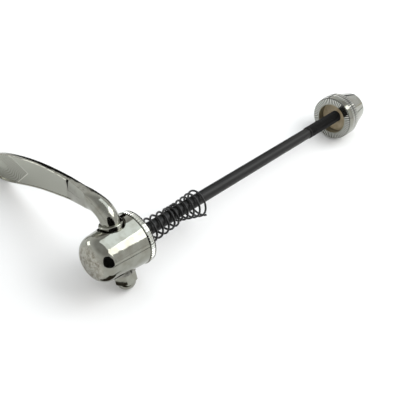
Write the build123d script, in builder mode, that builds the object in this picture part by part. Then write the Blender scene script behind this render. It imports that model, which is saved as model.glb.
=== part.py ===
from build123d import *
from math import cos, exp, pi, radians, sin, sqrt
import os

os.makedirs("parts", exist_ok=True)

# Frame: +X runs along the rod towards the adjusting nut, and the origin is where
# the rod's axis crosses the cam shaft's axis. The part lies on +Z up, rolled about
# the rod until the lever's tip rests on the same surface as the acorn nut.
roll = -24.0

# rod: M5 rolled thread on a plain shank
shank_r = 2.2
thread_r = 2.42
thread_pitch = 0.8
neck_r = 1.95
neck_start = 100.2
neck_len = 1.6
rod_end = 132.6

# cam: an eccentric on the lever's cross shaft draws the rod's eye
cam_throw = 1.0
cam_r = 3.0
shoulder_r = 3.0
eye_half_thick = 2.5
eye_slack = 0.27
eye_wall_side = 1.3
eye_wall_back = 1.43
eye_neck_x = 5.9

# housing
barrel_r = 8.4
barrel_taper = 0.08
barrel_mouth = 6.2
barrel_end = -11.6
end_fillet = 4.5
end_dome = 0.35
cavity_r = 6.2
cavity_end = -6.2
spigot_r = 6.95
spigot_len = 0.8
joint_bevel = 0.25
top_journal_r = 4.35
low_journal_r = 2.5
journal_clearance = 0.06
mouth_relief = 0.2
spot_face_deep = 0.8
spot_face_s = barrel_r - spot_face_deep
spot_face_r = 4.7

# serrated ring on the barrel's mouth
ring_r = 9.2
ring_face_r = 8.95
ring_face = 8.5
ring_hole_r = 3.0
ring_teeth = 64
ring_rim_groove = 0.3
ring_face_groove = 0.35
ring_land_r = 6.6
spring_seat_r = 5.5
spring_seat_deep = 0.8

# washer and acorn nut on the shaft's far end
washer_r = 3.9
stud_r = 2.0
washer_clearance = 0.1
washer_thick = 1.0
washer_split = 0.7
turning_gap = 0.05
acorn_flats = 7.0
acorn_hex_len = 3.2
acorn_dome_r = 3.1
thread_fit = 0.03

# springs: black wire, wound as cones
wire_r = 0.36
coil_gap = 0.06
inner_big_r = 4.2
inner_small_r = 3.4
inner_turns = 5.3
inner_pitch = 2.8
inner_drop_big = 0.85
inner_drop_small = 0.8
spring_gap = 0.35
outer_small_r = 3.0
outer_big_r = 5.05
outer_turns = 4.7
outer_pitch = 2.55
outer_drop_small = 0.15
outer_drop_big = 2.15

# adjusting nut
nut_face = 119.2
nut_len = 16.0
nut_face_r = 8.75
nut_rim_r = 9.15
nut_knurl_r = 9.25
nut_rim_len = 2.5
knurl_row = 1.5
knurl_gap = 0.35
knurl_depth = 0.3
nut_teeth = 60
nut_rear_r = 6.3
nut_rear_round = 1.1
nut_recess_r = 6.28
nut_recess_deep = 5.2
lock_ring_thick = 2.0
lock_ring_r = 6.2
thread_clearance = 0.08

# lever: one forging, measured along the lever, up the cam shaft and along the rod
collar_r = 3.95
collar_top = 9.0
collar_round = 0.45
arm_thick = 6.2
arm_rise = 15.25
neck_width = 5.65
neck_crest = 0.1
neck_bevel = 0.55
neck_bulge = 0.15
shoulder_reach = 18.5
paddle_width = 11.8
paddle_thick = 2.3
paddle_rise = 19.4
paddle_bow = 1.18
widening = 24.0
thinning = 8.5
tip_reach = 67.5
tip_round = 14.0
tip_sweep = -1.9
edge_bevel = 0.4
back_round = 1.0
border = 0.6
face_step = 0.2
face_start = 19.7
face_start_r = 5.0
panel_apex = 42.9
panel_upper_run = 8.4
panel_lower_run = 10.1
panel_step = 0.14


def tipped(origin, x_dir, z_dir):
    """A plane given along the rod, along the lever and up the cam shaft."""
    return Plane(
        origin=Vector(*origin).rotate(Axis.X, roll),
        x_dir=Vector(*x_dir).rotate(Axis.X, roll),
        z_dir=Vector(*z_dir).rotate(Axis.X, roll),
    )


def across(height):
    """The plane square to the cam shaft at this height along it."""
    return tipped((0, 0, height), (1, 0, 0), (0, 0, 1))


# ---------------------------------------------------------------- cam housing
with BuildPart() as cam_housing:
    with BuildSketch(Plane.XY) as barrel_profile:
        with BuildLine():
            fillet_x = barrel_end + end_dome + end_fillet
            end_r = barrel_r + barrel_taper * fillet_x
            mouth_r = barrel_r + barrel_taper * barrel_mouth
            flat_r = end_r - end_fillet
            dome_mid = barrel_end + end_dome * 0.25
            dome_edge = barrel_end + end_dome
            ThreePointArc((barrel_end, 0), (dome_mid, flat_r * 0.5), (dome_edge, flat_r))
            corner_x = fillet_x - end_fillet * cos(pi / 4)
            corner_r = flat_r + end_fillet * sin(pi / 4)
            ThreePointArc((dome_edge, flat_r), (corner_x, corner_r), (fillet_x, end_r))
            Polyline(
                (fillet_x, end_r),
                (barrel_mouth - joint_bevel, mouth_r),
                (barrel_mouth, mouth_r - joint_bevel),
                (barrel_mouth, spigot_r),
                (barrel_mouth + spigot_len, spigot_r),
                (barrel_mouth + spigot_len, cavity_r),
                (cavity_end, cavity_r),
                (cavity_end, 0),
                (barrel_end, 0),
            )
        make_face()
    revolve(axis=Axis.X)
    # shaft bores: a wide one for the journal under the lever, a narrow one below
    with BuildSketch(across(0)):
        Circle(top_journal_r + journal_clearance)
    extrude(amount=barrel_r + 1, mode=Mode.SUBTRACT)
    with BuildSketch(across(7.3)):
        Circle(top_journal_r + journal_clearance + mouth_relief)
    extrude(amount=barrel_r, mode=Mode.SUBTRACT)
    with BuildSketch(across(0)):
        Circle(low_journal_r + journal_clearance)
    extrude(amount=-barrel_r - 1, mode=Mode.SUBTRACT)
    # spot face that the washer bears on
    with BuildSketch(across(-spot_face_s)):
        Circle(spot_face_r)
    extrude(amount=-barrel_r, mode=Mode.SUBTRACT)

# -------------------------------------------------------------- serrated ring
with BuildPart() as serrated_ring:
    with BuildSketch(Plane.XY):
        with BuildLine():
            Polyline(
                (barrel_mouth, spigot_r),
                (barrel_mouth, ring_r - joint_bevel),
                (barrel_mouth + joint_bevel, ring_r),
                (ring_face - joint_bevel, ring_face_r),
                (ring_face, ring_face_r - joint_bevel),
                (ring_face, spring_seat_r),
                (ring_face - spring_seat_deep, spring_seat_r),
                (ring_face - spring_seat_deep, ring_hole_r),
                (barrel_mouth + spigot_len, ring_hole_r),
                (barrel_mouth + spigot_len, spigot_r),
                (barrel_mouth, spigot_r),
            )
        make_face()
    revolve(axis=Axis.X)
    tooth_pitch = 2 * pi * ring_r / ring_teeth
    # serrations across the rim
    with BuildSketch(Plane.YZ.offset(barrel_mouth)):
        with PolarLocations(ring_r, ring_teeth):
            Polygon(
                (-ring_rim_groove, 0),
                (0.2, -tooth_pitch * 0.42),
                (0.2, tooth_pitch * 0.42),
                align=None,
            )
    extrude(amount=ring_face - barrel_mouth, mode=Mode.SUBTRACT)
    # radial teeth on the clamping face
    with BuildSketch(Plane.YZ.offset(ring_face)):
        with PolarLocations(0, ring_teeth):
            Polygon(
                (ring_land_r, -tooth_pitch * 0.16),
                (ring_r + 1, -tooth_pitch * 0.26),
                (ring_r + 1, tooth_pitch * 0.26),
                (ring_land_r, tooth_pitch * 0.16),
                align=None,
            )
    extrude(amount=-ring_face_groove, mode=Mode.SUBTRACT)

# ------------------------------------------------------------------ skewer rod
with BuildPart() as skewer_rod:
    with BuildSketch(Plane.XY):
        with BuildLine():
            neck_end = neck_start + neck_len
            Polyline(
                (eye_neck_x - 1.2, 0),
                (eye_neck_x - 1.2, shank_r),
                (neck_start, shank_r),
                (neck_start + 0.25, neck_r),
                (neck_end - 0.35, neck_r),
                (neck_end, thread_r),
                (rod_end - 0.6, thread_r),
                (rod_end, thread_r - 0.6),
                (rod_end, 0),
                (eye_neck_x - 1.2, 0),
            )
        make_face()
    revolve(axis=Axis.X)
    # eye around the eccentric, long enough across to let it swing
    slot_x = cam_r + eye_slack
    slot_side = cam_r + cam_throw + journal_clearance
    eye_back = cam_throw - slot_x - eye_wall_back
    with BuildSketch(across(-eye_half_thick)):
        with Locations(((eye_back + eye_neck_x) / 2, 0)):
            RectangleRounded(eye_neck_x - eye_back, 2 * (slot_side + eye_wall_side), 2.9)
    extrude(amount=2 * eye_half_thick)
    with BuildSketch(across(-eye_half_thick)):
        with Locations((cam_throw, 0)):
            RectangleRounded(2 * slot_x, 2 * slot_side, slot_x - 0.01)
    extrude(amount=2 * eye_half_thick, mode=Mode.SUBTRACT)

# ----------------------------------------------------------------------- lever
def ease(value):
    held = max(0, min(1, value))
    return held * held * (3 - 2 * held)


with BuildLine() as arm_line:
    Spline(
        (0, 0, collar_top - 0.6),
        (0, 0, collar_top + 0.4),
        (0, 0.35, collar_top + 2.0),
        (-0.02, 2.3, arm_rise - 1.65),
        (0, 6.0, arm_rise),
        (0.25, 12.0, arm_rise + 0.95),
        (paddle_bow - 0.18, 18.5, arm_rise + 1.5),
        (paddle_bow, 26.0, paddle_rise - 1.84),
        (paddle_bow - 0.11, 35.0, paddle_rise - 0.9),
        (paddle_bow - 0.7, 45.0, paddle_rise - 0.25),
        (paddle_bow - 1.63, 55.0, paddle_rise),
        (tip_sweep, tip_reach + 1.0, paddle_rise - 0.15),
    )
arm_path = arm_line.line.edges()[0]
tip_start = tip_reach - tip_round


def at_reach(reach):
    """Where on the path the arm has come this far."""
    low = 0
    high = 1
    for halving in range(30):
        middle = (low + high) / 2
        if (arm_path @ middle).Y < reach:
            low = middle
        else:
            high = middle
    return low


def frame_at(at):
    """Where the path is, which way it runs, and which way is across the lever."""
    along = arm_path % at
    return arm_path @ at, along, along.cross(Vector(1, 0, 0)).normalized()


def width_at(reach):
    root = (arm_thick - neck_width) * (1 - ease(reach / 8))
    widened = (1 - exp(-max(0, reach - 10) / widening)) / (1 - exp((10 - tip_reach) / widening))
    rounded = sqrt(1 - (max(0, reach - tip_start) / tip_round) ** 2)
    return (neck_width + root + (paddle_width - neck_width) * widened) * rounded


def thick_at(reach):
    return paddle_thick + (arm_thick - paddle_thick) * exp(-max(0, reach - 3.5) / thinning)


def measures(reach):
    """How far the arm has turned from oval to bar here, and half its width and depth."""
    return ease((reach - 3) / 7), width_at(reach) / 2, thick_at(reach) / 2


def section(at):
    """One section of the forging: oval at the arm, a bar with bevelled edges beyond."""
    here, along, over = frame_at(at)
    flat, half, deep = measures(here.Y)
    bevel = min(edge_bevel, half * 0.35)
    back = min(back_round, deep * 0.75, half * 0.5)
    # each point goes from its place on the oval, at this angle, to its place on the bar
    side = []
    for angle, across_by, out_by in (
        (37, half - bevel, deep),
        (50, half - 0.29 * bevel, deep - 0.29 * bevel),
        (62, half, deep - bevel),
        (90, half + 0.04, -0.1),
        (118, half, back - deep),
        (132, half - 0.29 * back, 0.29 * back - deep),
        (146, half - back, -deep),
    ):
        turned = radians(angle)
        side.append((
            (1 - flat) * half * sin(turned) + flat * across_by,
            (1 - flat) * deep * cos(turned) + flat * out_by,
        ))
    other_side = [(-x, y) for x, y in reversed(side)]
    ring = side + [(0, -deep - 0.03 * flat)] + other_side + [(0, deep + 0.03 * flat)]
    with BuildSketch(tipped(tuple(here), tuple(over), tuple(along))) as shape:
        with BuildLine():
            for corner in range(0, len(ring), 2):
                ThreePointArc(ring[corner], ring[corner + 1], ring[(corner + 2) % len(ring)])
        make_face()
    return shape.sketch.faces()[0]


def neck_slice(reach):
    """What is taken off the neck's outer face here, from a crest near its middle."""
    here, along, over = frame_at(at_reach(reach))
    flat, half, deep = measures(reach)
    lift = 0.5 * (1 - flat)
    crest = (neck_crest, deep + lift)
    bulge = ((neck_crest - half) / 2, deep + lift - neck_bevel / 2 + neck_bulge)
    edge = (-half, deep + lift - neck_bevel)
    with BuildSketch(tipped(tuple(here), tuple(over), tuple(along))) as shape:
        with BuildLine():
            ThreePointArc(crest, bulge, edge)
            Polyline(edge, (-half - 1.5, edge[1] - 0.55), (-half - 1.5, deep + 2), (neck_crest, deep + 2), crest)
        make_face()
    return shape.sketch.faces()[0]


def side_spot(reach, side):
    """A point of the coined face's edge, seen square to the lever's side."""
    here, along, over = frame_at(at_reach(reach))
    edge = here + over * side * max(0, width_at(reach) / 2 - border)
    return edge.Y, edge.Z


def coined(depth):
    """What coining sinks: a slab that follows the outer face, inside the border."""
    slices = []
    for count in range(8):
        here, along, over = frame_at(at_reach(shoulder_reach - 3) * (1 - count / 7) + count / 7)
        with BuildSketch(tipped(tuple(here), tuple(over), tuple(along))) as slice_shape:
            with Locations((0, thick_at(here.Y) / 2 - depth)):
                Rectangle(2 * paddle_width, 3, align=(Align.CENTER, Align.MIN))
        slices.append(slice_shape.sketch.faces()[0])
    straights = [shoulder_reach - 1.5 + (tip_start - shoulder_reach + 1.5) * count / 6 for count in range(7)]
    turns = [tip_start + (tip_round - border) * sin(radians(angle)) for angle in (22, 42, 60, 74)]
    with BuildPart() as sunk:
        loft(sections=slices)
        with BuildSketch(lever_side):
            with BuildLine():
                Spline(
                    *[side_spot(reach, 1) for reach in straights + turns],
                    (tip_reach - border, paddle_rise - 0.15),
                    *[side_spot(reach, -1) for reach in reversed(straights + turns)],
                )
                Line(side_spot(straights[0], -1), side_spot(straights[0], 1))
            make_face()
            with Locations((face_start - face_start_r, arm_rise + 1.4)):
                Circle(face_start_r, mode=Mode.SUBTRACT)
        extrude(amount=30, mode=Mode.INTERSECT)
    return sunk.part


shoulder_at = at_reach(shoulder_reach)
shoulder_spot, shoulder_along, shoulder_over = frame_at(shoulder_at)
shoulder_plane = tipped(tuple(shoulder_spot), tuple(shoulder_over), tuple(shoulder_along))
lever_side = tipped((-15, 0, 0), (0, 1, 0), (1, 0, 0))

# pointed panel sunk a little deeper into the coined face, left plain
with BuildPart() as panel_cutter:
    add(coined(face_step + panel_step))
    with BuildSketch(lever_side):
        Polygon(
            (panel_apex, paddle_rise - 0.6),
            (panel_apex + panel_upper_run, paddle_rise + paddle_width / 2),
            (tip_reach, paddle_rise + paddle_width / 2),
            (tip_reach, paddle_rise - paddle_width / 2),
            (panel_apex + panel_lower_run, paddle_rise - paddle_width / 2),
            align=None,
        )
    extrude(amount=30, mode=Mode.INTERSECT)

# the neck's outer face falls away from a crest, up to the paddle's shoulder
with BuildPart() as neck_cutter:
    loft(sections=[neck_slice(reach) for reach in (4.5, 6.5, 8.5, 10.5, 12.5, 15, 18, 21, 24)])
    split(bisect_by=shoulder_plane, keep=Keep.BOTTOM)

with BuildPart() as lever:
    # the arm leaves the collar along the cam shaft, bends over and flattens to the paddle
    arm_steps = [shoulder_at * step for step in (0, 0.05, 0.12, 0.2, 0.29, 0.38, 0.47, 0.57, 0.68, 0.8, 0.9)]
    paddle_steps = [at_reach(reach) for reach in (shoulder_reach, 22, 27, 34, 43, tip_start)]
    tip_steps = [at_reach(tip_start + tip_round * sin(radians(angle))) for angle in (20, 40, 58, 72, 82)]
    loft(sections=[section(at) for at in arm_steps + paddle_steps + tip_steps])
    add(neck_cutter.part, mode=Mode.SUBTRACT)
    # coined outer face inside a border
    add(coined(face_step), mode=Mode.SUBTRACT)
    add(panel_cutter.part, mode=Mode.SUBTRACT)
    # collar that sits in the housing's bore
    with BuildSketch(across(7.2)):
        Circle(collar_r)
    extrude(amount=collar_top - 7.2)
    fillet(edges().filter_by(GeomType.CIRCLE).filter_by(lambda e: abs(e.radius - collar_r) < 0.01).sort_by(
        lambda e: e.center().rotate(Axis.X, -roll).Z)[-1:], collar_round)
    # journal, eccentric, shoulder and threaded end of the cross shaft
    with BuildSketch(across(eye_half_thick + 0.1)):
        Circle(top_journal_r)
    extrude(amount=7.2 - eye_half_thick - 0.1)
    with BuildSketch(across(-eye_half_thick - 0.1)):
        with Locations((cam_throw, 0)):
            Circle(cam_r)
    extrude(amount=2 * eye_half_thick + 0.2)
    with BuildSketch(across(-5.3)):
        Circle(shoulder_r)
    extrude(amount=5.3 - eye_half_thick - 0.1)
    with BuildSketch(across(-spot_face_s)):
        Circle(low_journal_r)
    extrude(amount=spot_face_s - 5.3)
    with BuildSketch(across(-spot_face_s - turning_gap - washer_thick - acorn_hex_len)):
        Circle(stud_r)
    extrude(amount=turning_gap + washer_thick + acorn_hex_len)

# ----------------------------------------------------------- washer, acorn nut
washer_top = -spot_face_s - turning_gap
with BuildPart() as lock_washer:
    with BuildSketch(across(washer_top)):
        Circle(washer_r)
        Circle(stud_r + washer_clearance, mode=Mode.SUBTRACT)
        with Locations((0, -(washer_r + stud_r) / 2)):
            Rectangle(washer_split, 2, rotation=18, mode=Mode.SUBTRACT)
    extrude(amount=-washer_thick)

with BuildPart() as acorn_nut:
    hex_top = washer_top - washer_thick
    dome_start = hex_top - acorn_hex_len
    corner_r = acorn_flats / 2 / cos(pi / 6)
    with BuildSketch(across(hex_top)):
        RegularPolygon(acorn_flats / 2, 6, major_radius=False)
    extrude(amount=-acorn_hex_len)
    # the hexagon's corners are chamfered towards the dome
    with Locations(across(dome_start)):
        Cone(
            corner_r - 0.5,
            corner_r - 0.5 + acorn_hex_len * 1.7,
            acorn_hex_len,
            align=(Align.CENTER, Align.CENTER, Align.MIN),
            mode=Mode.INTERSECT,
        )
    with BuildSketch(across(dome_start)):
        Circle(acorn_dome_r)
    extrude(amount=-acorn_dome_r)
    dome_rim = edges().filter_by(GeomType.CIRCLE).sort_by(Axis(
        (0, 0, 0), Vector(0, 0, 1).rotate(Axis.X, roll)))[0]
    fillet(dome_rim, acorn_dome_r - 0.35)
    with BuildSketch(across(hex_top)):
        Circle(stud_r + thread_fit)
    extrude(amount=-acorn_hex_len - thread_fit, mode=Mode.SUBTRACT)

# --------------------------------------------------------------------- springs
steps_per_turn = 12
closed_turns = 0.9


def coil(start, turns, pitch, start_r, end_r, drop_start, drop_end, phase, last_closed):
    """Centreline of a left-handed cone spring whose first turn is wound close."""
    close_pitch = 2 * wire_r + coil_gap
    total = turns + closed_turns + last_closed
    spots = []
    x = start + wire_r
    for step in range(int(total * steps_per_turn) + 1):
        turn = step / steps_per_turn
        cone = max(0, min(1, (turn - closed_turns) / turns))
        radius = start_r + (end_r - start_r) * cone
        drop = drop_start + (drop_end - drop_start) * cone
        angle = radians(phase) - 2 * pi * turn
        spots.append((x, radius * cos(angle), radius * sin(angle) - drop))
        halfway = turn + 0.5 / steps_per_turn
        opened = ease((halfway - closed_turns + 0.25) * 2)
        if last_closed:
            opened = opened * ease((total - last_closed - halfway + 0.25) * 2)
        x = x + (close_pitch + (pitch - close_pitch) * opened) / steps_per_turn
    return spots


inner_spots = coil(
    ring_face - spring_seat_deep, inner_turns, inner_pitch,
    inner_big_r, inner_small_r, inner_drop_big, inner_drop_small, 14, closed_turns,
)
inner_end = inner_spots[-1][0] + wire_r
outer_spots = coil(
    inner_end + spring_gap, outer_turns, outer_pitch,
    outer_small_r, outer_big_r, outer_drop_small, outer_drop_big, 75, 0,
)

with BuildPart() as inner_spring:
    with BuildLine() as inner_path:
        Spline(*inner_spots)
    with BuildSketch(Plane(origin=inner_path.line @ 0, z_dir=inner_path.line % 0)):
        Circle(wire_r)
    sweep(path=inner_path.line, is_frenet=True)

with BuildPart() as outer_spring:
    with BuildLine() as outer_path:
        Spline(*outer_spots)
    with BuildSketch(Plane(origin=outer_path.line @ 0, z_dir=outer_path.line % 0)):
        Circle(wire_r)
    sweep(path=outer_path.line, is_frenet=True)

# --------------------------------------------------------------- adjusting nut
with BuildPart() as adjusting_nut:
    rear = nut_face + nut_len
    knurl_start = nut_face + nut_rim_len
    second_row = knurl_start + knurl_row + knurl_gap
    knurl_end = second_row + knurl_row
    floor = nut_face + nut_recess_deep
    bore_r = thread_r + thread_clearance
    with BuildSketch(Plane.XY):
        with BuildLine():
            Polyline(
                (nut_face, nut_recess_r),
                (nut_face, nut_face_r),
                (nut_face + 0.35, nut_rim_r - 0.1),
                (knurl_start - 0.2, nut_rim_r),
                (knurl_start, nut_knurl_r),
                (knurl_start + knurl_row, nut_knurl_r),
                (knurl_start + knurl_row + 0.05, nut_knurl_r - knurl_depth),
                (second_row - 0.05, nut_knurl_r - knurl_depth),
                (second_row, nut_knurl_r),
                (knurl_end, nut_knurl_r),
                (knurl_end + 0.25, nut_knurl_r - knurl_depth),
                (rear - nut_rear_round, nut_rear_r + 0.25),
            )
            corner = nut_rear_round * 0.3
            ThreePointArc(
                (rear - nut_rear_round, nut_rear_r + 0.25),
                (rear - corner, nut_rear_r - corner),
                (rear, nut_rear_r - nut_rear_round),
            )
            Polyline(
                (rear, nut_rear_r - nut_rear_round),
                (rear, bore_r + 0.4),
                (rear - 0.4, bore_r),
                (floor, bore_r),
                (floor, nut_recess_r),
                (nut_face, nut_recess_r),
            )
        make_face()
    revolve(axis=Axis.X)
    # radial teeth on the clamping face
    face_pitch = 2 * pi * nut_face_r / nut_teeth
    with BuildSketch(Plane.YZ.offset(nut_face)):
        with PolarLocations(0, nut_teeth):
            Polygon(
                (nut_recess_r + 0.45, -face_pitch * 0.19),
                (nut_face_r + 1, -face_pitch * 0.27),
                (nut_face_r + 1, face_pitch * 0.27),
                (nut_recess_r + 0.45, face_pitch * 0.19),
                align=None,
            )
    extrude(amount=0.4, mode=Mode.SUBTRACT)
    # two rows of straight knurl
    knurl_pitch = 2 * pi * nut_knurl_r / nut_teeth
    for row_start in (knurl_start, second_row):
        with BuildSketch(Plane.YZ.offset(row_start - 0.1)):
            with PolarLocations(nut_knurl_r, nut_teeth):
                Polygon(
                    (-knurl_depth, 0),
                    (0.2, -knurl_pitch * 0.4),
                    (0.2, knurl_pitch * 0.4),
                    align=None,
                )
        extrude(amount=knurl_row + 0.2, mode=Mode.SUBTRACT)

with BuildPart() as lock_ring:
    with BuildSketch(Plane.YZ.offset(floor - lock_ring_thick)):
        Circle(lock_ring_r)
        Circle(bore_r, mode=Mode.SUBTRACT)
    extrude(amount=lock_ring_thick - 0.05)

cam_housing.part.label = "cam_housing"
serrated_ring.part.label = "serrated_ring"
skewer_rod.part.label = "skewer_rod"
lever.part.label = "lever"
lock_washer.part.label = "lock_washer"
acorn_nut.part.label = "acorn_nut"
inner_spring.part.label = "inner_spring"
outer_spring.part.label = "outer_spring"
adjusting_nut.part.label = "adjusting_nut"
lock_ring.part.label = "lock_ring"

export_step(cam_housing.part, "parts/cam_housing.step")
export_step(serrated_ring.part, "parts/serrated_ring.step")
export_step(skewer_rod.part, "parts/skewer_rod.step")
export_step(lever.part, "parts/lever.step")
export_step(lock_washer.part, "parts/lock_washer.step")
export_step(acorn_nut.part, "parts/acorn_nut.step")
export_step(inner_spring.part, "parts/inner_spring.step")
export_step(outer_spring.part, "parts/outer_spring.step")
export_step(adjusting_nut.part, "parts/adjusting_nut.step")
export_step(lock_ring.part, "parts/lock_ring.step")
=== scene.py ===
import math

import bmesh
import bpy
from mathutils import Matrix, Vector


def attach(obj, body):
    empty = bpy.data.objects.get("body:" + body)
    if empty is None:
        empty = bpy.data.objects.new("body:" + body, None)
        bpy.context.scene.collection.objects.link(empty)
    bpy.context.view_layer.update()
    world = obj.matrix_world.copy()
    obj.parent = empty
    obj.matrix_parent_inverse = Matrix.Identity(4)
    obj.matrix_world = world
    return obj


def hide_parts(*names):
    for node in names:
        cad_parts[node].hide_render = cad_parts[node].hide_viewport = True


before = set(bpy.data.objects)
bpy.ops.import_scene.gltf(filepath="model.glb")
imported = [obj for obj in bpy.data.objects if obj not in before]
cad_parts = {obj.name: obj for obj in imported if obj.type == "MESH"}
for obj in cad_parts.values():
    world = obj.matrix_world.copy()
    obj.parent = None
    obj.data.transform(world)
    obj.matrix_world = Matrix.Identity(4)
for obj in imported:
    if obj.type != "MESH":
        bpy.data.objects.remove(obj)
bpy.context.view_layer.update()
print("frame loaded")


def hexToLinear(code):
    # a colour as seen on a screen, such as "#93948b", to the light that Blender counts in
    parts = [int(code[i:i + 2], 16) / 255 for i in (1, 3, 5)]
    return (*[c / 12.92 if c <= 0.04045 else ((c + 0.055) / 1.055) ** 2.4 for c in parts], 1.0)


def grey(value):
    return (value, value, value, 1.0)


def addNode(tree, kind, settings=None, **inputs):
    # settings are the node's own switches; each input is a value, or a socket to link from
    node = tree.nodes.new(kind)
    for name, value in (settings or {}).items():
        setattr(node, name, value)
    for name, value in inputs.items():
        numbered = name[0] == "i" and name[1:].isdigit()
        socket = node.inputs[int(name[1:])] if numbered else node.inputs[name.replace("_", " ")]
        if isinstance(value, bpy.types.NodeSocket):
            tree.links.new(value, socket)
        else:
            socket.default_value = value
    return node


def newMaterial(name):
    material = bpy.data.materials.new(name)
    material.use_nodes = True
    tree = material.node_tree
    place = addNode(tree, "ShaderNodeTexCoord").outputs["Object"]
    return material, tree, tree.nodes["Principled BSDF"], place


def setShader(tree, shader, **inputs):
    for name, value in inputs.items():
        socket = shader.inputs[name.replace("_", " ")]
        if isinstance(value, bpy.types.NodeSocket):
            tree.links.new(value, socket)
        else:
            socket.default_value = value


def rampOf(tree, source, *stops):
    ramp = addNode(tree, "ShaderNodeValToRGB", Fac=source)
    while len(ramp.color_ramp.elements) < len(stops):
        ramp.color_ramp.elements.new(0.5)
    for element, (position, colour) in zip(ramp.color_ramp.elements, stops):
        element.position = position
        element.color = colour
    return ramp.outputs["Color"]


def noiseOf(tree, place, sizeMm, detail=3.0, roughness=0.55):
    return addNode(tree, "ShaderNodeTexNoise", Vector=place, Scale=1000 / sizeMm,
                   Detail=detail, Roughness=roughness).outputs["Fac"]


def mathOf(tree, operation, first, second=0.0, clamp=False):
    return addNode(tree, "ShaderNodeMath", {"operation": operation, "use_clamp": clamp},
                   i0=first, i1=second).outputs[0]


def mixOf(tree, amount, first, second):
    mix = addNode(tree, "ShaderNodeMix", {"data_type": "RGBA"}, i0=amount, i6=first, i7=second)
    return mix.outputs[2]


def maskOf(tree, *parts):
    # where all the parts are 1
    mask = parts[0]
    for part in parts[1:]:
        mask = mathOf(tree, "MULTIPLY", mask, part)
    return mask


def bumpOf(tree, height, slopeMm, normal=None):
    # slopeMm is how far the surface moves over the pattern's whole range
    bump = addNode(tree, "ShaderNodeBump", Height=height, Strength=1.0, Distance=slopeMm / 1000)
    if normal:
        tree.links.new(normal, bump.inputs["Normal"])
    return bump.outputs["Normal"]


def stepOf(tree, value, start, end):
    # 0 up to start, 1 from end on
    return addNode(tree, "ShaderNodeMapRange", {"clamp": True}, Value=value,
                   From_Min=start, From_Max=end, To_Min=0.0, To_Max=1.0).outputs["Result"]


def dress(node, material, smoothDegrees=28):
    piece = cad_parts[node]
    piece.data.materials.clear()
    piece.data.materials.append(material)
    for face in piece.data.polygons:
        face.use_smooth = True
    piece.data.set_sharp_from_angle(angle=math.radians(smoothDegrees))
    return piece


def radiusOf(tree, place):
    # distance from the rod's axis, and the place along it
    parts = addNode(tree, "ShaderNodeSeparateXYZ", Vector=place)
    flat = addNode(tree, "ShaderNodeCombineXYZ", X=0.0, Y=parts.outputs["Y"], Z=parts.outputs["Z"])
    length = addNode(tree, "ShaderNodeVectorMath", {"operation": "LENGTH"}, i0=flat.outputs["Vector"])
    return length.outputs["Value"], parts.outputs["X"]


plate = {
    "colour": "#93948b",
    "thin": "#86857b",        # where the plate is thin it looks warmer
    "roughness": 0.07,
    "rippleMm": 2.6,          # slow ripple left by polishing before plating
    "rippleDeepMm": 0.030,
    "peelMm": 0.45,           # orange peel of the plate itself
    "peelDeepMm": 0.0022,
    "hairMm": 0.4,            # hairlines from handling, drawn out along the rod
    "hairStretch": (0.2, 1.0, 1.0),
    "hairTurn": (0.3, 0.6, 0.2),
}


def chromeParts(name, scuffs, rippleDeepMm=plate["rippleDeepMm"]):
    # polished steel under bright plate: clean reflections that wander a little, faint hairlines
    material, tree, shader, place = newMaterial(name)
    ripple = noiseOf(tree, place, plate["rippleMm"], 1.5)
    peel = noiseOf(tree, place, plate["peelMm"], 3.0, 0.65)
    turned = addNode(tree, "ShaderNodeMapping", Vector=place,
                     Scale=plate["hairStretch"], Rotation=plate["hairTurn"])
    hairs = noiseOf(tree, turned.outputs["Vector"], plate["hairMm"], 5.0, 0.7)
    dull = rampOf(tree, hairs, (0.5, grey(plate["roughness"])),
                  (0.85, grey(plate["roughness"] + scuffs * 0.5)))
    tone = rampOf(tree, ripple, (0.3, hexToLinear(plate["thin"])), (0.6, hexToLinear(plate["colour"])))
    slow = bumpOf(tree, ripple, rippleDeepMm)
    fine = bumpOf(tree, peel, plate["peelDeepMm"], slow)
    setShader(tree, shader, Metallic=1.0, Base_Color=tone, Roughness=dull, Normal=fine)
    return material, tree, shader, place, tone, dull, fine


housingLook = {
    "scuffs": 0.25,
    "wornFrom": -0.0101,      # the end disc is worn from its fillet outwards
    "wornFully": -0.0110,
    "wornRoughness": 0.34,
    "bared": "#a9a89e",
    "stain": "#645c4e",
    "stained": 0.85,
    "freckleMm": 1.1,
    "freckleDeepMm": 0.03,
}


def housingPlate():
    # the closed end has lost its polish: handled and stood on, dull grey with brown freckles
    look = housingLook
    material, tree, shader, place, tone, dull, fine = chromeParts(
        "bright chrome plate, scuffed end", look["scuffs"])
    along = radiusOf(tree, place)[1]
    onEnd = stepOf(tree, along, look["wornFrom"], look["wornFully"])
    freckles = noiseOf(tree, place, look["freckleMm"], 6.0, 0.7)
    marks = maskOf(tree, onEnd, stepOf(tree, freckles, 0.42, 0.62), look["stained"])
    bared = mixOf(tree, onEnd, tone, hexToLinear(look["bared"]))
    colour = mixOf(tree, marks, bared, hexToLinear(look["stain"]))
    worn = mixOf(tree, onEnd, dull, grey(look["wornRoughness"]))
    scuffs = bumpOf(tree, maskOf(tree, freckles, onEnd), look["freckleDeepMm"], fine)
    setShader(tree, shader, Base_Color=colour, Roughness=worn, Normal=scuffs)
    return material


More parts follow.
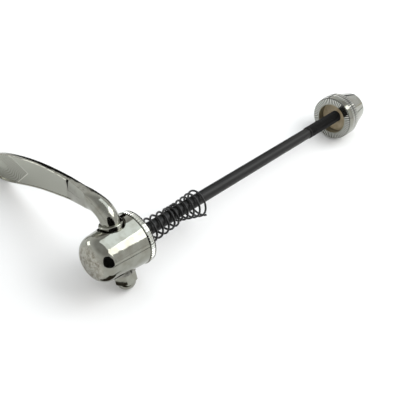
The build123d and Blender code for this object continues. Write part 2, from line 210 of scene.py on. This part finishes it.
leverLook = {
    "scuffs": 0.35,
    "rippleDeepMm": 0.012,
    "faceColour": "#a3a49a",
    "faceRoughness": (0.17, 0.32),
    "faceFrom": (0.0245, 0.0255),
    "grainMm": 0.22,
    "grainDeepMm": 0.010,
    "rollDegrees": 24,                          # turns Y and Z to the lever's own reach and rise
    "panelApex": (0.0429, 0.0188),
    "upperLean": 1.292,                         # reach gained for each rise, along the panel's edges
    "lowerLean": 1.906,
    "paintedHighlight": "#e4e4dc",
    "ovalPlace": (-0.0005, 0.0615, -0.0046),    # middle of the plain oval in the panel
    "ovalStretch": (0.0, 0.55, 1.0),
    "ovalLean": 0.42,
    "ovalEdge": (0.0013, 0.0016),
    "linePitchMm": 0.62,
    "lineDeepMm": 0.007,
    "lineShade": 0.55,
    "grooveShade": "#5b5a52",
}


def leverPlate():
    # the coined face keeps the die's fine grain under the plate, the rest is polished bright
    look = leverLook
    material, tree, shader, place, tone, dull, fine = chromeParts(
        "bright chrome plate over a coined face", look["scuffs"], look["rippleDeepMm"])
    geometry = addNode(tree, "ShaderNodeNewGeometry")
    normal = addNode(tree, "ShaderNodeSeparateXYZ", Vector=geometry.outputs["Normal"])
    parts = addNode(tree, "ShaderNodeSeparateXYZ", Vector=place)
    outward = stepOf(tree, normal.outputs["X"], -0.90, -0.97)
    onFace = maskOf(tree, outward, stepOf(tree, parts.outputs["Y"], *look["faceFrom"]))
    grain = noiseOf(tree, place, look["grainMm"], 4.0, 0.7)
    smooth, coarse = look["faceRoughness"]
    rough = rampOf(tree, grain, (0.3, grey(smooth)), (0.7, grey(coarse)))
    worn = mixOf(tree, onFace, dull, rough)

    # engraved lines ring a plain oval, darkened along the lines with painted shade
    shifted = addNode(tree, "ShaderNodeMapping", Vector=place,
                      Location=tuple(-value for value in look["ovalPlace"]))
    shaped = addNode(tree, "ShaderNodeMapping", Vector=shifted.outputs["Vector"],
                     Scale=look["ovalStretch"], Rotation=(look["ovalLean"], 0, 0))
    length = addNode(tree, "ShaderNodeVectorMath", {"operation": "LENGTH"}, i0=shaped.outputs["Vector"])
    rings = length.outputs["Value"]
    turns = mathOf(tree, "MULTIPLY", rings, 2 * math.pi * 1000 / look["linePitchMm"])
    waves = mathOf(tree, "SINE", turns)

    # a painted highlight runs along the panel's pointed edge; inward is how far a spot lies inside it
    own = addNode(tree, "ShaderNodeMapping", Vector=place,
                  Rotation=(math.radians(look["rollDegrees"]), 0, 0))
    ownParts = addNode(tree, "ShaderNodeSeparateXYZ", Vector=own.outputs["Vector"])
    reach = mathOf(tree, "SUBTRACT", ownParts.outputs["Y"], look["panelApex"][0])
    rise = mathOf(tree, "SUBTRACT", ownParts.outputs["Z"], look["panelApex"][1])
    above = mathOf(tree, "SUBTRACT", reach, mathOf(tree, "MULTIPLY", rise, look["upperLean"]))
    below = mathOf(tree, "ADD", reach, mathOf(tree, "MULTIPLY", rise, look["lowerLean"]))
    inward = mathOf(tree, "MINIMUM", above, below)
    edgeHighlight = maskOf(tree, stepOf(tree, inward, -0.00030, -0.00010),
                  stepOf(tree, inward, 0.00045, 0.00020), outward)
    inPanel = maskOf(tree, onFace, stepOf(tree, rings, *look["ovalEdge"]),
                     stepOf(tree, inward, 0.0003, 0.0006))
    paintedGrooveShade = maskOf(tree, inPanel, stepOf(tree, waves, -0.2, 0.7), look["lineShade"])

    lines = bumpOf(tree, maskOf(tree, waves, inPanel), look["lineDeepMm"], fine)
    grained = bumpOf(tree, maskOf(tree, grain, onFace), look["grainDeepMm"], lines)
    colour = mixOf(tree, onFace, tone, hexToLinear(look["faceColour"]))
    # painted shade along the engraved lines
    colour = mixOf(tree, paintedGrooveShade, colour, hexToLinear(look["grooveShade"]))
    # painted highlight along the panel's pointed edge
    colour = mixOf(tree, edgeHighlight, colour, hexToLinear(look["paintedHighlight"]))
    setShader(tree, shader, Base_Color=colour, Roughness=worn, Normal=grained)
    return material


groovedLook = {
    "scuffs": 0.15,
    "rippleDeepMm": 0.005,
    "crest": "#c8c9c2",
    "gritAndShade": "#1f1d1a",
    "gritAndShadeMm": 0.5,
    "gritRoughness": 0.6,
    "fade": 0.0001,
}

# each band of cut teeth: whether they are cut towards the axis or along it, where the grit and
# painted shade start and are full, the bottom of the cut, and the band's two edges
ringTeeth = [
    ("radius", 0.0089, 0.0086, 0.0083, 0.0064, 0.0074),
    ("radius", 0.00875, 0.0085, 0.0082, 0.0074, 0.0084),
    ("along", 0.0084, 0.00825, 0.0079, 0.0067, 0.0091),
]
nutTeeth = [
    ("radius", 0.00922, 0.00912, 0.0088, 0.12165, 0.1251),
    ("along", 0.11925, 0.11934, 0.1198, 0.0067, 0.0090),
]


def groovedPlate(name, teeth):
    # the same plate rubbed bright on the teeth, with old grease and grit held in the cuts, and painted
    # shade deepest in them
    look = groovedLook
    material, tree, shader, place, tone, dull, fine = chromeParts(
        name, look["scuffs"], look["rippleDeepMm"])
    radius, along = radiusOf(tree, place)
    shadeAndGritMask, rubbed = None, None
    for kind, start, end, deepest, low, high in teeth:
        across, value = (along, radius) if kind == "radius" else (radius, along)
        inside = maskOf(tree, stepOf(tree, across, low, low + look["fade"]),
                        stepOf(tree, across, high, high - look["fade"]),
                        stepOf(tree, value, deepest + end - start, deepest))
        heldShadeAndGrit = maskOf(tree, inside, stepOf(tree, value, start, end))
        shadeAndGritMask = heldShadeAndGrit if shadeAndGritMask is None else mathOf(tree, "MAXIMUM", shadeAndGritMask, heldShadeAndGrit)
        rubbed = inside if rubbed is None else mathOf(tree, "MAXIMUM", rubbed, inside)
    gritAndShade = noiseOf(tree, place, look["gritAndShadeMm"], 4.0)
    shadeAndGritMask = maskOf(tree, shadeAndGritMask, stepOf(tree, gritAndShade, 0.1, 0.4))
    crests = mixOf(tree, rubbed, tone, hexToLinear(look["crest"]))
    # grit and painted shade darken the bottom of each cut
    colour = mixOf(tree, shadeAndGritMask, crests, hexToLinear(look["gritAndShade"]))
    worn = mixOf(tree, shadeAndGritMask, dull, grey(look["gritRoughness"]))
    setShader(tree, shader, Base_Color=colour, Roughness=worn)
    return material


acornLook = {"scuffs": 0.3, "rippleDeepMm": 0.006}

rodLook = {
    "dark": "#0e0e0d", "light": "#1a1a18", "rubbed": "#2b2a28",
    "streakMm": 0.6, "streakStretch": (0.12, 1.0, 1.0), "streakDeepMm": 0.008,
    "rubMm": 3.0, "sheen": 0.24,
}


def blackOxide(name):
    # drawn steel blacked in oxide and oiled: dark satin, streaked along the draw, greyer where rubbed
    look = rodLook
    material, tree, shader, place = newMaterial(name)
    along = addNode(tree, "ShaderNodeMapping", Vector=place, Scale=look["streakStretch"])
    streaks = noiseOf(tree, along.outputs["Vector"], look["streakMm"], 4.0, 0.65)
    rubs = noiseOf(tree, place, look["rubMm"], 6.0, 0.7)
    base = rampOf(tree, streaks, (0.35, hexToLinear(look["dark"])), (0.75, hexToLinear(look["light"])))
    colour = mixOf(tree, stepOf(tree, rubs, 0.60, 0.72), base, hexToLinear(look["rubbed"]))
    dull = rampOf(tree, streaks, (0.3, grey(0.34)), (0.8, grey(0.50)))
    setShader(tree, shader, Base_Color=colour, Roughness=dull, Specular_IOR_Level=look["sheen"],
              Normal=bumpOf(tree, streaks, look["streakDeepMm"]))
    return material


wireLook = {"dark": "#0c0c0c", "light": "#1b1b1b", "mottleMm": 0.7, "mottleDeepMm": 0.004, "sheen": 0.4}


def springWire(name):
    # hard-drawn wire blacked in oil: near black with a tight sheen
    look = wireLook
    material, tree, shader, place = newMaterial(name)
    mottle = noiseOf(tree, place, look["mottleMm"])
    base = rampOf(tree, mottle, (0.35, hexToLinear(look["dark"])), (0.75, hexToLinear(look["light"])))
    dull = rampOf(tree, mottle, (0.3, grey(0.26)), (0.7, grey(0.40)))
    setShader(tree, shader, Base_Color=base, Roughness=dull, Specular_IOR_Level=look["sheen"],
              Normal=bumpOf(tree, mottle, look["mottleDeepMm"]))
    return material


zincLook = {
    "dark": "#7d7c76", "light": "#a5a49c",
    "mottleMm": 0.55, "mottleDeepMm": 0.006, "roughness": 0.30,
}


def zincPlate(name):
    # spring steel under zinc: a softer, greyer shine than the chrome
    look = zincLook
    material, tree, shader, place = newMaterial(name)
    mottle = noiseOf(tree, place, look["mottleMm"], 4.0)
    base = rampOf(tree, mottle, (0.3, hexToLinear(look["dark"])), (0.7, hexToLinear(look["light"])))
    setShader(tree, shader, Base_Color=base, Metallic=1.0, Roughness=look["roughness"],
              Normal=bumpOf(tree, mottle, look["mottleDeepMm"]))
    return material


nylonLook = {
    "oiled": "#9b8a6d", "clean": "#c2b392", "stainMm": 2.4, "stainDeepMm": 0.01,
    "roughness": 0.42, "glow": 0.1, "glowDepth": (0.001, 0.0008, 0.0005),
}


def mouldedNylon(name):
    # moulded nylon, natural: warm off-white and waxy, browned by thread oil
    look = nylonLook
    material, tree, shader, place = newMaterial(name)
    stain = noiseOf(tree, place, look["stainMm"], 4.0)
    base = rampOf(tree, stain, (0.35, hexToLinear(look["oiled"])), (0.7, hexToLinear(look["clean"])))
    setShader(tree, shader, Base_Color=base, Roughness=look["roughness"], Subsurface_Weight=look["glow"],
              Subsurface_Radius=look["glowDepth"], Normal=bumpOf(tree, stain, look["stainDeepMm"]))
    return material


coilSmoothDegrees = 60
rodBlack = blackOxide("black oxide steel, drawn rod")
wireBlack = springWire("black oxide spring wire")
dress("cam_housing", housingPlate())
dress("lever", leverPlate())
# the serrations and the knurl get grit and painted shade in their cuts
dress("serrated_ring", groovedPlate("bright chrome plate, serrations with grit and painted shade", ringTeeth))
dress("adjusting_nut", groovedPlate("bright chrome plate, knurl with grit and painted shade", nutTeeth))
dress("acorn_nut", chromeParts("bright chrome plate, turned nut", **acornLook)[0])
dress("lock_washer", zincPlate("zinc plate, spring washer"))
dress("skewer_rod", rodBlack)
dress("inner_spring", wireBlack, coilSmoothDegrees)
dress("outer_spring", wireBlack, coilSmoothDegrees)
dress("lock_ring", mouldedNylon("natural nylon, lock ring"))
print("finishes done")

thread = {
    "start": 0.1018, "end": 0.1326, "pitch": 0.0008,
    "crest": 0.00242, "root": 0.00199, "chamfer": 0.0006,
    "flank": 1.35, "rootFlat": 0.12, "overlap": 0.0001,
    "around": 40, "perPitch": 8,
}


def makeThreadedRod():
    # the rod's own surface up to its neck, then a rolled thread wound on as one surface
    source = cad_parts["skewer_rod"]
    rod = bpy.data.objects.new("threadedRod", source.data.copy())
    bpy.context.scene.collection.objects.link(rod)
    bm = bmesh.new()
    bm.from_mesh(rod.data)
    cut = thread["start"] - thread["overlap"]
    gone = [face for face in bm.faces if face.calc_center_median().x > cut]
    bmesh.ops.delete(bm, geom=gone, context="FACES")
    step = thread["pitch"] / thread["perPitch"]
    rows = round((thread["end"] - thread["start"]) / step)
    rings = []
    for row in range(rows + 1):
        x = thread["start"] + (thread["end"] - thread["start"]) * row / rows
        ring = []
        for spoke in range(thread["around"]):
            turn = spoke / thread["around"]
            wave = abs(((x - thread["start"]) / thread["pitch"] + turn) % 1 * 2 - 1)
            height = min(1.0, max(0.0, wave * thread["flank"] - thread["rootFlat"]))
            fadeIn = min(1.0, row / thread["perPitch"])
            radius = thread["crest"] + (thread["root"] - thread["crest"]) * (1 - height) * fadeIn
            radius = min(radius, thread["crest"] - thread["chamfer"] + (thread["end"] - x))
            angle = 2 * math.pi * turn
            ring.append(bm.verts.new((x, radius * math.cos(angle), radius * math.sin(angle))))
        rings.append(ring)
    for before, after in zip(rings, rings[1:]):
        for spoke in range(thread["around"]):
            following = (spoke + 1) % thread["around"]
            bm.faces.new((before[spoke], before[following], after[following], after[spoke]))
    bm.faces.new(rings[-1])
    bmesh.ops.recalc_face_normals(bm, faces=bm.faces)
    bm.to_mesh(rod.data)
    bm.free()
    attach(rod, "rod")
    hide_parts("skewer_rod")


makeThreadedRod()
print("thread done")

focus = Vector((0.0376, -0.0002, -0.0008))


def link(thing):
    bpy.context.scene.collection.objects.link(thing)
    return thing


def facing(bearing, height, reach, target=focus):
    # a place seen from the target at this bearing, from +X towards +Y, and height, in degrees
    turn, rise = math.radians(bearing), math.radians(height)
    level = reach * math.cos(rise)
    return target + Vector((level * math.cos(turn), level * math.sin(turn), reach * math.sin(rise)))


def aimAt(thing, place, target=focus):
    thing.location = place
    thing.rotation_euler = (target - place).to_track_quat("-Z", "Y").to_euler()


def restingPlane():
    # the plane under the three pieces that the part lies on
    under = Vector((0, 0, -1))
    for _ in range(12):
        feet = []
        for node in ("acorn_nut", "adjusting_nut", "lever"):
            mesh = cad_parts[node].data
            lowest = max((vertex.co for vertex in mesh.vertices), key=lambda spot: spot.dot(under))
            feet.append(lowest.copy())
        under = (feet[1] - feet[0]).cross(feet[2] - feet[0]).normalized()
        under = under if under.z < 0 else -under
    return feet[0], -under


floorLook = {"colour": "#f7f7f6", "half": 1.5, "clearance": 0.00002, "fibreMm": 40.0}


def makeFloor():
    foot, up = restingPlane()
    half = floorLook["half"]
    mesh = bpy.data.meshes.new("floor")
    corners = [(-half, -half, 0), (half, -half, 0), (half, half, 0), (-half, half, 0)]
    mesh.from_pydata(corners, [], [(0, 1, 2, 3)])
    floor = link(bpy.data.objects.new("floor", mesh))
    floor.rotation_euler = up.to_track_quat("Z", "Y").to_euler()
    floor.location = foot - up * floorLook["clearance"]
    material, tree, shader, place = newMaterial("matt white paper")
    fibre = noiseOf(tree, place, floorLook["fibreMm"], 2.0)
    setShader(tree, shader, Base_Color=hexToLinear(floorLook["colour"]), Specular_IOR_Level=0.1,
              Roughness=rampOf(tree, fibre, (0.3, grey(0.85)), (0.7, grey(0.95))))
    mesh.materials.append(material)


blackCard = "#0d0c0b"


def makeSoftbox(name, bearing, height, reach, size, watts, colour="#ffffff"):
    light = bpy.data.lights.new(name, "AREA")
    light.shape = "RECTANGLE"
    light.size, light.size_y = size
    light.energy = watts
    light.color = hexToLinear(colour)[:3]
    aimAt(link(bpy.data.objects.new(name, light)), facing(bearing, height, reach))


def makeCard(name, corners, colour=blackCard):
    # a card seen only in the polish: it draws the dark shapes that bright plate needs
    mesh = bpy.data.meshes.new(name)
    mesh.from_pydata(corners, [], [range(len(corners))])
    card = link(bpy.data.objects.new(name, mesh))
    material, tree, shader, place = newMaterial("black card")
    setShader(tree, shader, Base_Color=hexToLinear(colour), Roughness=0.95, Specular_IOR_Level=0.1)
    mesh.materials.append(material)
    card.visible_camera = False
    card.visible_diffuse = False
    card.visible_shadow = False


def roundCorners(middle, across, tall, count=32):
    # an oval that stands square to the line from the origin
    side = Vector((-middle.y, middle.x, 0)).normalized()
    up = middle.cross(side).normalized()
    turns = [2 * math.pi * step / count for step in range(count)]
    return [middle + side * across * math.cos(turn) + up * tall * math.sin(turn) for turn in turns]


def makeWorld():
    # bright near the horizon, as pale walls are, and dimmer above, where the lamps are
    world = bpy.data.worlds.new("studio")
    bpy.context.scene.world = world
    world.use_nodes = True
    tree = world.node_tree
    direction = addNode(tree, "ShaderNodeTexCoord").outputs["Generated"]
    up = addNode(tree, "ShaderNodeSeparateXYZ", Vector=direction)
    shade = rampOf(tree, up.outputs["Z"], (0.0, grey(0.95)), (0.40, grey(1.0)), (0.75, grey(0.55)))
    tree.links.new(shade, tree.nodes["Background"].inputs["Color"])


view = {"place": (-0.0939, -0.1018, 0.1433), "leanDegrees": 9.08, "lensMm": 56.74, "sensorMm": 36.0}


def makeCamera():
    data = bpy.data.cameras.new("camera")
    data.lens = view["lensMm"]
    data.sensor_width = view["sensorMm"]
    data.clip_start = 0.01
    camera = link(bpy.data.objects.new("camera", data))
    camera.location = view["place"]
    aim = (focus - Vector(view["place"])).to_track_quat("-Z", "Y")
    lean = Matrix.Rotation(math.radians(view["leanDegrees"]), 4, "Z")
    camera.rotation_euler = (aim.to_matrix().to_4x4() @ lean).to_euler()
    bpy.context.scene.camera = camera


makeFloor()
makeWorld()
makeSoftbox("window", -43, 47, 0.60, (0.50, 0.34), 1.95)
makeSoftbox("ceiling", 8, 66, 0.60, (0.62, 0.34), 1.25, "#e6eef4")
makeSoftbox("backWindow", 118, 14, 0.60, (0.22, 0.14), 0.30)

# an oval on the housing's fillet, and the fine line low on its barrel
makeCard("cardFront", roundCorners(facing(-113, 8, 0.11, Vector()), 0.086, 0.074))
makeCard("cardStrip", [
    (-0.01, -0.066, -0.0125), (0.30, -0.066, -0.0125),
    (0.30, -0.090, -0.0125), (-0.01, -0.078, -0.0125),
])
# painted shade: a dark sheet on the floor under the acorn nut, seen only in the polish, stands in for
# the floor's shade there and darkens the nut's underside
makeCard("shadeCardUnder", [
    (-0.014, -0.018, -0.0144), (0.004, -0.018, -0.0144),
    (0.004, -0.002, -0.0144), (-0.014, -0.002, -0.0144),
], "#3a352b")
# bands along the adjusting nut's cone
makeCard("cardNut", [
    (0.30, 0.040, -0.001), (0.25, 0.20, -0.001),
    (0.25, 0.20, 0.022), (0.30, 0.040, 0.012),
], "#24282a")
makeCard("cardNutWarm", [
    (0.30, -0.030, -0.001), (0.30, 0.038, -0.001),
    (0.30, 0.038, 0.016), (0.30, -0.030, 0.012),
], "#ddd5c4")
makeCard("cardNutStrip", [
    (0.182, -0.024, -0.0060), (0.182, -0.012, -0.0060),
    (0.190, -0.012, -0.0056), (0.190, -0.026, -0.0056),
], "#2a2b28")
# the dark top edge of the paddle and arm
makeCard("cardBack", [
    (0.03, 0.13, -0.011), (0.16, 0.05, -0.011),
    (0.16, 0.05, 0.045), (0.03, 0.13, 0.045),
])
makeCamera()
bpy.context.scene.view_settings.view_transform = "Standard"
print("studio done")
